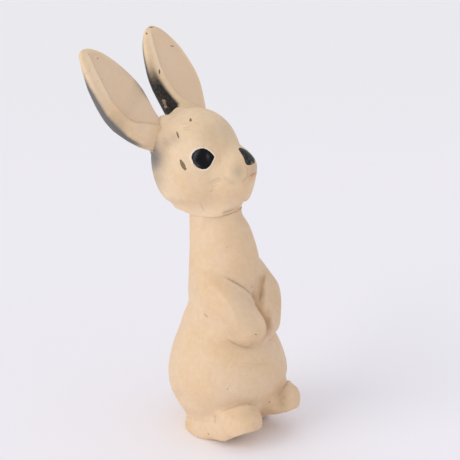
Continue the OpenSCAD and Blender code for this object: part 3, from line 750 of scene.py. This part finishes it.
shapeFace()
print("face shaped")

# ears: a leaf panel on the inner face, edged by a broad rim; bands are amount, place and width from its edge
earSkin = dict(
    voxel=0.3 * mm, softTurns=50, length=55, steps=60, innerFace=(0.3, -0.4), panel=0.75,
    panelEdge=(-0.2, 1.5), margin=(0.6, 2.3), lip=(0.35, -0.5, 0.9), rootSink=1.6, rootHeight=(11, 2),
    rootFace=(0.2, -0.5), greyFrom=(3, 15), greyTo=(54, 41), rim=(0.5, -0.2, 0.55), rimHighlightAlong=(0.62, 0.35),
    grimeAndShade=(0.35, 0.3, 0.6), grimeAndShadeAlong=(0.55, 0.75))
# lines on the photograph; widen moves the inner edge and outer the other one: heights and millimetres
earLines = {
    -1: dict(panel=[(87, 51.5), (90, 59), (95, 70.5), (102.4, 85.3), (110.7, 101), (120.9, 112),
        (129.2, 119.5), (135.9, 122.8), (144, 123.2), (152, 124.2), (160, 125.3)],
        grey=[(84.5, 74.2), (90, 87.2), (99.6, 102.9), (107, 114.9), (118.1, 126), (127.4, 136.2)],
        tip=(1.0, 0.2, 1.3),
        widen=[(0, -1.2), (12, -1.6), (25, -0.5), (38, 0.4), (47, 0.8), (52, 0.8), (55, 0.4)],
        outer=[(-5, 3.8), (0, 3.6), (4, 1.6), (8, -0.2), (14, -1.5), (22, -2.2), (28, -1.8), (34, -0.9),
        (42, 0.6), (47, 1.9), (51, 2.4), (55, 1.6)], greyEdge=(-0.9, 0.9), greyAmount=1.0),
    1: dict(panel=[(149.8, 29), (153.3, 44.6), (158.8, 63.1), (165.3, 77), (172.7, 88.1), (181, 97.3),
        (189.3, 102.9), (200, 106.5)], grey=[(146, 53), (150, 70), (155, 85), (160, 100)],
        tip=(-1.4, 0.3, 0.5), widen=[(0, 0.6), (8, 1.4), (15, 1.6), (30, 1.6), (42, 1.2), (52, 0.3)],
        outer=[(0, 0), (20, 0.2), (35, 0.4), (48, 0.4), (55, 0.1)], greyEdge=(0.2, 1.8), greyAmount=0.85)}
earChips = {
    -1: [([(88.6, 54.1), (88.9, 54.6)], 0.28), ([(97.2, 58), (98, 58.6)], 0.4),
        ([(86.4, 73), (86.8, 73.4)], 0.2), ([(102, 79), (102.4, 79.4)], 0.2)],
    1: [([(159.3, 69.4), (159.7, 73.8)], 0.42), ([(160.6, 65.6), (161.1, 66.8)], 0.3),
        ([(146.4, 32.8), (147, 34.2)], 0.45), ([(170.5, 45.6), (174, 46.4)], 0.3),
        ([(149, 27.2), (153, 27)], 0.4)]}
# worn black paint at the root of the far ear, and where it has flaked off
blackPaint = dict(
    outline=[(140, 48), (150, 50), (155, 65), (160, 77), (166.5, 88), (173.5, 97), (179, 103), (179, 116),
        (156, 116), (146, 92)],
    edge=(-2.5, 4), rows=(44, 99), turnAway=(-0.3, 0),
    flakes=[((164.5, 102), (3.4, 4.6), 0.62), ((166, 107), (3.2, 2.6), 0.58), ((161.6, 112), (2.4, 2), 0.5)])


def makeEar(node, name, side):
    ear = copyNode(node, name)
    remesh(ear, earSkin["voxel"])
    soften(ear, earSkin["softTurns"], np.ones(len(ear.data.vertices)))
    place, lines, steps = earFrame(side), earLines[side], earSkin["steps"]
    turn = np.array(place.to_3x3())
    # the tip's small lean, and the outline of both edges
    co = readPoints(ear)
    local = inFrame(co, place) / mm
    step = np.clip(local[:, 2].astype(int), 0, steps - 1)
    half, outer = np.full(steps, 1.0), np.full(steps, 1.0)
    np.maximum.at(half, step, local[:, 0])
    np.maximum.at(outer, step, -local[:, 0])
    move = np.clip(local[:, 2] / earSkin["length"], 0, 1)[:, None] ** 2 * lines["tip"]
    for key, share in (("widen", local[:, 0] / half[step]), ("outer", -local[:, 0] / outer[step])):
        move[:, 0] += np.interp(local[:, 2], *zip(*lines[key])) * fade(share, -0.4, 1)
    # the inner face sinks into the head at its root
    facing = (readNormals(ear) @ turn)[:, 1]
    sunk = earSkin["rootSink"] * fade(local[:, 2], *earSkin["rootHeight"])
    move[:, 1] += sunk * fade(facing, *earSkin["rootFace"])
    writePoints(ear, co + move @ turn.T * mm)
    bpy.context.view_layer.update()
    co, no = readPoints(ear), readNormals(ear)
    local = inFrame(co, place) / mm
    height = local[:, 2]
    np.maximum.at(half, step, local[:, 0])
    inner = fade((no @ turn)[:, 1], *earSkin["innerFace"])
    distance, sign, along = nearLine(co, no, onSkin(ear, lines["panel"]), 70 * mm)
    signed = -distance * sign / mm   # positive on the panel
    edge = fade(along, 0, 0.06)
    margin = np.interp(height, np.arange(steps) + 0.5, half) - local[:, 0]
    panel = fade(signed, *earSkin["panelEdge"]) * inner * fade(margin, *earSkin["margin"])
    lift = -earSkin["panel"] * panel * edge + band(signed, *earSkin["lip"]) * inner * edge
    writePoints(ear, co + no * (lift * mm)[:, None])
    bpy.context.view_layer.update()
    # grey spray on the back, from just over the edge
    greyLine = inFrame(onSkin(ear, lines["grey"]), place) / mm
    order = np.argsort(greyLine[:, 2])
    start = np.interp(height, greyLine[order, 2], greyLine[order, 1])
    grey = fade(local[:, 1] - start, *lines["greyEdge"])
    grey = grey * fade(height, *earSkin["greyFrom"]) * fade(height, *earSkin["greyTo"])
    black, flake = np.zeros(len(co)), np.zeros(len(co))
    if side > 0:
        pixels, facing = toPixels(co, no)
        black = fade(insideOutline(pixels, blackPaint["outline"]), *blackPaint["edge"])
        black = black * fade(pixels[:, 1], *blackPaint["rows"]) * fade(facing, *blackPaint["turnAway"])
        black = black * (1 - panel)
        flake = softSpots(pixels, blackPaint["flakes"]) * (facing > 0)
    # pale line on the ridge beside the panel: a painted highlight
    rim = band(signed, *earSkin["rim"]) * inner * edge * fade(along, *earSkin["rimHighlightAlong"])
    # dark band at the foot of the panel's step: grime and painted shade
    grimeAndShade = band(signed, *earSkin["grimeAndShade"]) * inner * fade(along, *earSkin["grimeAndShadeAlong"])
    masks = {"chip": chipMask(ear, earChips[side]), "panel": panel, "rim": rim,
             "grey": grey * lines["greyAmount"], "black": black, "flake": flake, "grimeAndShade": grimeAndShade}
    for key, mask in masks.items():
        storeMask(ear, key, mask)
    return ear


earRight = makeEar("ear_right", "earRight", -1)
earLeft = makeEar("ear_left", "earLeft", 1)
print("ear skins:", len(earRight.data.vertices), len(earLeft.data.vertices), "points")

# eyes: a flattened sphere drawn out to the edge of the eye, laid on the curve of the head
# faint reflections: a crescent towards the back and a streak in front of the middle, in millimetres
eyeBead = dict(
    spread=1.05, dome=0.75 * mm, sink=1.2 * mm, headRound=21 * mm, crescentMiddle=-0.3,
    crescent=(1, 3.6, 0.9), crescentOver=(0, -3), streak=(0.8, 2.2, 0.8), streakHigh=(0.6, 1.6))


def makeEye(name, side):
    eye, co = addBall(name)
    around, share = np.arctan2(co[:, 1], co[:, 0]), np.hypot(co[:, 0], co[:, 1])
    reach = np.interp(around, eyeAround, eyeReach, period=2 * np.pi) * eyeBead["spread"]
    flat = share * reach
    height = np.where(co[:, 2] > 0, eyeBead["dome"], eyeBead["sink"]) * co[:, 2]
    height = height - flat ** 2 / 2 / eyeBead["headRound"]
    co = np.stack([flat * np.cos(around), flat * np.sin(around), height], 1)
    x, y = co[:, 0] / mm, co[:, 1] / mm
    crescent = band(np.hypot(x - eyeBead["crescentMiddle"], y), *eyeBead["crescent"])
    streakPlace, streakWidth = eyeBead["streakHigh"]
    streak = band(x, *eyeBead["streak"]) * bump(y - streakPlace, streakWidth)
    storeMask(eye, "sheen", crescent * fade(x, *eyeBead["crescentOver"]) + streak)
    writePoints(eye, co)
    flip = Matrix.Scale(-1 if side > 0 else 1, 4, (1, 0, 0))
    eye.data.transform(headFrame @ flip @ eyePlace)
    editAll(eye, bpy.ops.mesh.normals_make_consistent, inside=False)
    return eye


eyeRight = makeEye("eyeRight", -1)
eyeLeft = makeEye("eyeLeft", 1)

# nose: an egg laid over the tip of the muzzle, squared by one power above its middle and another below
noseBean = dict(middle=25.3, half=(3.4, 3.35), lower=(0.4, 0.6), powers=(3, 4), proud=0.75, back=1.2)
# worn spot low on the nose, a thin worn edge and a worn far side, where the cream shows through
noseWear = dict(
    spot=(-1.3, 22.5), spotFlat=1.6, spotReach=1.1, edge=(3.3, 4.3), edgeAmount=0.6, amount=0.62,
    farSide=(0.5, 2), farBelow=(23.5, 22.2))


def makeNose():
    nose, co = addBall("noseBean", 64)
    wide, high = noseBean["half"]
    level = np.hypot(co[:, 0], co[:, 1])
    above = co[:, 2] > 0
    power = np.where(above, *noseBean["powers"])
    square = np.clip(1 - abs(co[:, 2]) ** power, 0, 1) ** (1 / power) / np.maximum(level, 1e-6)
    x = co[:, 0] * square * wide * (1 - np.where(above, *noseBean["lower"]) * co[:, 2])
    z = noseBean["middle"] + co[:, 2] * high
    out = np.empty((len(co), 3))
    for i in range(len(co)):
        _, place, normal = fromFront(x[i], z[i])
        lift = -co[i, 1] * (noseBean["proud"] if co[i, 1] < 0 else noseBean["back"]) * mm
        out[i] = place + normal * lift
    writePoints(nose, out)
    return nose


def wearNose(nose):
    x, _, z = (inFrame(readPoints(nose), headFrame) / mm).T
    spotX, spotZ = noseWear["spot"]
    spot = bump(np.hypot(x - spotX, (z - spotZ) * noseWear["spotFlat"]), noseWear["spotReach"])
    edge = fade(abs(x), *noseWear["edge"]) * noseWear["edgeAmount"]
    farSide = fade(x, *noseWear["farSide"]) * fade(z, *noseWear["farBelow"])
    storeMask(nose, "worn", np.maximum(np.maximum(spot, edge) * noseWear["amount"], farSide))


nose = makeNose()
wearNose(nose)
print("eyes and nose made")


# shader helpers, which all work on the node tree that lies on the bench
bench = {}


def newMaterial(name):
    material = bpy.data.materials.new(name)
    material.use_nodes = True
    bench["tree"] = material.node_tree
    return material, material.node_tree.nodes["Principled BSDF"]


def addNode(kind, **values):
    made = bench["tree"].nodes.new("ShaderNode" + kind)
    for key, value in values.items():
        if key in made.inputs:
            made.inputs[key].default_value = value
        else:
            setattr(made, key, value)
    return made


# a number, a colour or another node's output into a socket
def feed(value, socket):
    if isinstance(value, (int, float)):
        socket.default_value = value
    elif isinstance(value, tuple):
        socket.default_value = (*value, 1)
    else:
        bench["tree"].links.new(value, socket)


def addMix(factor, first, second, blend="MIX"):
    made = addNode("Mix", data_type="RGBA", blend_type=blend)
    for i, value in ((0, factor), (6, first), (7, second)):
        feed(value, made.inputs[i])
    return made.outputs[2]


def addMath(operation, first, second, clamp=False):
    made = addNode("Math", operation=operation, use_clamp=clamp)
    for socket, value in zip(made.inputs, (first, second)):
        feed(value, socket)
    return made.outputs[0]


def multiply(first, second, clamp=False):
    return addMath("MULTIPLY", first, second, clamp)


def addRange(value, low, high, start=0.0, end=1.0):
    made = addNode("MapRange", interpolation_type="SMOOTHSTEP")
    for socket, number in zip(made.inputs, (value, low, high, start, end)):
        feed(number, socket)
    return made.outputs[0]


def addNoise(scale, detail=3.0, roughness=0.55, stretch=None):
    place = addNode("TexCoord").outputs["Object"]
    if stretch:
        mapping = addNode("Mapping", Scale=stretch)
        feed(place, mapping.inputs["Vector"])
        place = mapping.outputs[0]
    made = addNode("TexNoise", Detail=detail, Roughness=roughness)
    feed(scale, made.inputs["Scale"])
    feed(place, made.inputs["Vector"])
    return made.outputs["Fac"]


# noise spread over levels: low and high, and the values that these become
def addPatches(noise, levels):
    return addRange(addNoise(*noise), *levels)


def readMask(name):
    return addNode("Attribute", attribute_name=name).outputs["Fac"]


def newGroup(name, inputs, outputs):
    tree = bench["tree"] = bpy.data.node_groups.new(name, "ShaderNodeTree")
    for way, sockets in (("INPUT", inputs), ("OUTPUT", outputs)):
        for label, kind in sockets:
            tree.interface.new_socket(name=label, in_out=way, socket_type="NodeSocket" + kind)
    return tree, tree.nodes.new("NodeGroupInput").outputs, tree.nodes.new("NodeGroupOutput").inputs


def useGroup(group, **values):
    made = addNode("Group", node_tree=group)
    for key, value in values.items():
        feed(value, made.inputs[key])
    return made.outputs


def setSurface(shader, colour, roughness, height, strength, depth):
    feed(colour, shader.inputs["Base Color"])
    feed(roughness, shader.inputs["Roughness"])
    relief = addNode("Bump", Strength=strength, Distance=depth)
    feed(height, relief.inputs["Height"])
    feed(relief.outputs[0], shader.inputs["Normal"])


bodyTones = dict(Cream=(0.755, 0.56, 0.37), Warm=(0.742, 0.522, 0.31), Pink=(0.765, 0.566, 0.4))
headTones = dict(Cream=(0.81, 0.616, 0.41), Warm=(0.795, 0.575, 0.352), Pink=(0.82, 0.62, 0.44))
# grime is grime with painted shade, and rim is a painted highlight
paintTones = dict(
    grey=(0.165, 0.155, 0.147), black=(0.014, 0.0125, 0.011), flake=(0.36, 0.25, 0.16),
    chip=(0.2, 0.14, 0.06), chipDark=(0.1, 0.065, 0.03), grimeAndShade=(0.3, 0.185, 0.095), pink=(0.74, 0.42, 0.24),
    panel=(0.725, 0.54, 0.38), rim=(0.95, 0.84, 0.7), speck=(0.42, 0.27, 0.13))
paintAmounts = dict(panel=0.62, rim=0.75, pink=0.55, chip=0.9, rosy=0.7, speck=0.3)
# layers of the vinyl: noise (scale, detail, roughness, stretch) and its levels
vinylLayers = dict(
    broad=((42, 3), (0.4, 0.66)), rosy=((70, 2, 0.5, (1, 1, 0.45)), (0.48, 0.72)),
    mottle=((420, 4, 0.65), (0.3, 0.75, 0.955, 1.03)), specks=((760, 1, 0.4), (0.735, 0.79)),
    satin=((150, 4), (0.3, 0.7, 0.5, 0.68)), soilAndShade=((500, 3), (0.3, 0.7, 0.75, 1.1)),
    bare=((900, 2), (0.35, 0.65)), blackSpeckle=((900, 3, 0.65), (0.3, 0.7, 0.95, 1.04)))
vinylRelief = dict(dents=(65, 2), grain=(1500, 3), grainShare=0.035, strength=0.35, depth=0.0012)
sprayLook = dict(
    cloud=((260, 3), (0.25, 0.7, 0.93, 1.06)), level=0.92, dots=(-0.08, 0.14), veil=0.95, dotShare=0.16)


# aged cream vinyl: broad warm and pinkish patches, fine mottle, faint specks, satin sheen and soft dents
def agedVinylGroup():
    tree, given, out = newGroup("agedVinyl", [("Cream", "Color"), ("Warm", "Color"), ("Pink", "Color")],
                                [("Colour", "Color"), ("Roughness", "Float"), ("Height", "Float")])
    layer = {key: addPatches(*vinylLayers[key]) for key in ("broad", "rosy", "mottle", "specks", "satin")}
    colour = addMix(layer["broad"], given["Cream"], given["Warm"])
    colour = addMix(multiply(layer["rosy"], paintAmounts["rosy"]), colour, given["Pink"])
    shade = addNode("CombineColor")
    for channel in shade.inputs:
        feed(layer["mottle"], channel)
    colour = addMix(1.0, colour, shade.outputs[0], "MULTIPLY")
    specks = multiply(layer["specks"], paintAmounts["speck"])
    feed(addMix(specks, colour, paintTones["speck"]), out["Colour"])
    feed(layer["satin"], out["Roughness"])
    grain = multiply(addNoise(*vinylRelief["grain"]), vinylRelief["grainShare"])
    feed(addMath("ADD", addNoise(*vinylRelief["dents"]), grain), out["Height"])
    return tree


# sprayed paint: an even veil where the amount is high, single specks where it is low
def sprayGroup():
    tree, given, out = newGroup("spray", [("Amount", "Float"), ("Grain", "Float")], [("Mask", "Float")])
    grain = addNoise(given["Grain"], 2, 0.7)
    cloudy = multiply(given["Amount"], addPatches(*sprayLook["cloud"]))
    level = addMath("ADD", addMath("SUBTRACT", grain, sprayLook["level"]), given["Amount"])
    dots = multiply(addRange(level, *sprayLook["dots"]),
                    multiply(cloudy, sprayLook["dotShare"]))
    feed(addMath("ADD", multiply(cloudy, sprayLook["veil"]), dots, True), out["Mask"])
    return tree


# ragged edge of a mask: wear, chips and flakes
def raggedGroup():
    tree, given, out = newGroup("ragged", [("Amount", "Float"), ("Grain", "Float"), ("Spread", "Float")],
                                [("Mask", "Float")])
    wobble = addMath("SUBTRACT", addNoise(given["Grain"], 3, 0.6), 0.5)
    moved = addMath("ADD", given["Amount"], multiply(wobble, given["Spread"]))
    feed(addRange(moved, 0.3, 0.7), out["Mask"])
    return tree


agedVinyl, spray, ragged = agedVinylGroup(), sprayGroup(), raggedGroup()


def vinylMaterial(name, masks, tones):
    material, shader = newMaterial(name)
    base = useGroup(agedVinyl, **tones)
    colour = base["Colour"]
    # rim is a pale painted highlight beside the ear panels and round the eyes
    for key in ("panel", "rim", "pink"):
        if key in masks:
            amount = multiply(readMask(key), paintAmounts[key])
            colour = addMix(amount, colour, paintTones[key])
    if "grey" in masks:
        veil = useGroup(spray, Amount=readMask("grey"), Grain=1300.0)["Mask"]
        colour = addMix(veil, colour, paintTones["grey"])
    if "black" in masks:
        speckle = addPatches(*vinylLayers["blackSpeckle"])
        patch = multiply(addRange(readMask("black"), 0, 0.9), speckle, True)
        colour = addMix(patch, colour, paintTones["black"])
        shader.inputs["Specular IOR Level"].default_value = 0.25
        bits = useGroup(ragged, Amount=readMask("flake"), Grain=1300.0, Spread=1.5)["Mask"]
        bits = multiply(bits, addRange(readMask("flake"), 0.1, 0.4))
        colour = addMix(bits, colour, paintTones["flake"])
    # grime and painted shade in creases, valleys and hollows
    soilAndShade = multiply(readMask("grimeAndShade"), addPatches(*vinylLayers["soilAndShade"]), True)
    colour = addMix(soilAndShade, colour, paintTones["grimeAndShade"])
    chip = useGroup(ragged, Amount=readMask("chip"), Grain=1600.0, Spread=0.5)["Mask"]
    bare = addMix(addPatches(*vinylLayers["bare"]), paintTones["chip"], paintTones["chipDark"])
    colour = addMix(multiply(chip, paintAmounts["chip"]), colour, bare)
    setSurface(shader, colour, base["Roughness"], base["Height"], vinylRelief["strength"],
               vinylRelief["depth"])
    return material


# eyes, nose and whistle: colours, their mixing noise, roughness, and relief as noise, strength and depth
eyeLook = dict(
    colours=((0.004, 0.004, 0.005), (0.075, 0.079, 0.09)), mix=((500, 4, 0.65), (0.3, 0.75)),
    roughness=((700, 3), (0.3, 0.7, 0.16, 0.3)), specular=0.12, relief=(230, 2), strength=0.25, depth=0.0006)
noseLook = dict(
    colours=((0.015, 0.016, 0.016), (0.05, 0.05, 0.05)), mix=((600, 3), (0.35, 0.7)),
    roughness=((500, 3), (0.3, 0.7, 0.32, 0.5)), specular=0.2, relief=(400, 3), strength=0.3, depth=0.0006,
    bare=(0.5, 0.37, 0.25))
whistleLook = dict(
    colours=((0.62, 0.6, 0.52), (0.52, 0.48, 0.38)), mix=((260, 4), (0.35, 0.7)),
    roughness=((800, 3), (0.3, 0.7, 0.35, 0.5)), relief=(1800, 2), strength=0.2, depth=0.0003)
reedLook = dict(
    whistleLook, colours=((0.62, 0.42, 0.16), (0.45, 0.29, 0.1)), metallic=1.0,
    roughness=((800, 3), (0.3, 0.7, 0.25, 0.42)))


# a plain material from its look; a sheen mask shows the second colour, a worn mask the bare vinyl
def plainMaterial(name, look, mask=None):
    material, shader = newMaterial(name)
    amount = addPatches(*look["mix"])
    if mask == "sheen":
        amount = multiply(readMask(mask), amount)
    colour = addMix(amount, *look["colours"])
    if mask == "worn":
        worn = useGroup(ragged, Amount=readMask(mask), Grain=800.0, Spread=0.75)["Mask"]
        colour = addMix(worn, colour, look["bare"])
    setSurface(shader, colour, addPatches(*look["roughness"]), addNoise(*look["relief"]),
               look["strength"], look["depth"])
    shader.inputs["Metallic"].default_value = look.get("metallic", 0.0)
    if "specular" in look:
        shader.inputs["Specular IOR Level"].default_value = look["specular"]
    return material


def finishPiece(obj, rides, material, node):
    pickUp(obj)
    bpy.ops.object.shade_smooth()
    obj.data.materials.clear()
    obj.data.materials.append(material)
    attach(obj, rides)
    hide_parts(node)


bodyVinyl = vinylMaterial("bodyVinyl", (), bodyTones)
headVinyl = vinylMaterial("headVinyl", ("rim", "pink", "grey"), headTones)
earVinyl = vinylMaterial("earVinyl", ("panel", "rim", "grey", "black"), headTones)
eyeBlack = plainMaterial("eyeBlack", eyeLook, "sheen")
finishPiece(body, "body", bodyVinyl, "body_shell")
finishPiece(head, "head", headVinyl, "head_shell")
finishPiece(earRight, "head", earVinyl, "ear_right")
finishPiece(earLeft, "head", earVinyl, "ear_left")
finishPiece(eyeRight, "head", eyeBlack, "eye_right")
finishPiece(eyeLeft, "head", eyeBlack, "eye_left")
finishPiece(nose, "head", plainMaterial("noseBlack", noseLook, "worn"), "nose")
whistlePlastic = plainMaterial("whistlePlastic", whistleLook)
reedBrass = plainMaterial("reedBrass", reedLook)
for node in ("whistle_cup", "whistle_plate", "whistle_cap", "whistle_reed"):
    obj = frame["nodes"][node]
    obj.data.materials.clear()
    obj.data.materials.append(reedBrass if node == "whistle_reed" else whistlePlastic)
print("materials set")

# light, floor and world
lighting = dict(
    worldColour=(0.975, 0.975, 1.01), worldStrength=0.8, keyColour=(1, 0.98, 0.92), keyStrength=1.02,
    keySoftness=48, keyDirection=(-0.95, 0.22, 0.44), floorNear=(0.94, 0.922, 0.972),
    floorFar=(0.904, 0.898, 0.922), floorFade=(-0.1, 1.2), floorRoughness=((3, 2), (0.3, 0.7, 0.8, 0.9)),
    floorSize=60)


def addLight():
    scene = bpy.context.scene
    scene.view_settings.view_transform = "Standard"
    scene.world = bpy.data.worlds.new("studio")
    scene.world.use_nodes = True
    background = scene.world.node_tree.nodes["Background"].inputs
    background["Color"].default_value = (*lighting["worldColour"], 1)
    background["Strength"].default_value = lighting["worldStrength"]
    direction = Vector(lighting["keyDirection"]).normalized()
    bpy.ops.object.light_add(type="SUN", location=direction)
    key = bpy.context.object
    key.name = "keyLight"
    key.rotation_euler = direction.to_track_quat("Z", "Y").to_euler()
    key.data.energy = lighting["keyStrength"]
    key.data.color = lighting["keyColour"]
    key.data.angle = math.radians(lighting["keySoftness"])


def addFloor():
    bpy.ops.mesh.primitive_plane_add(size=lighting["floorSize"])
    floor = bpy.context.object
    floor.name = "studioFloor"
    material, shader = newMaterial("paleFloor")
    place = addNode("SeparateXYZ")
    feed(addNode("TexCoord").outputs["Object"], place.inputs[0])
    # the floor is painted lighter under and before the figure and darker further back: a painted falloff of
    # the light
    away = addRange(addMath("ADD", place.outputs[0], place.outputs[1]), *lighting["floorFade"])
    feed(addMix(away, lighting["floorNear"], lighting["floorFar"]), shader.inputs["Base Color"])
    feed(addPatches(*lighting["floorRoughness"]), shader.inputs["Roughness"])
    floor.data.materials.append(material)


addLight()
addFloor()
print("light and floor set")
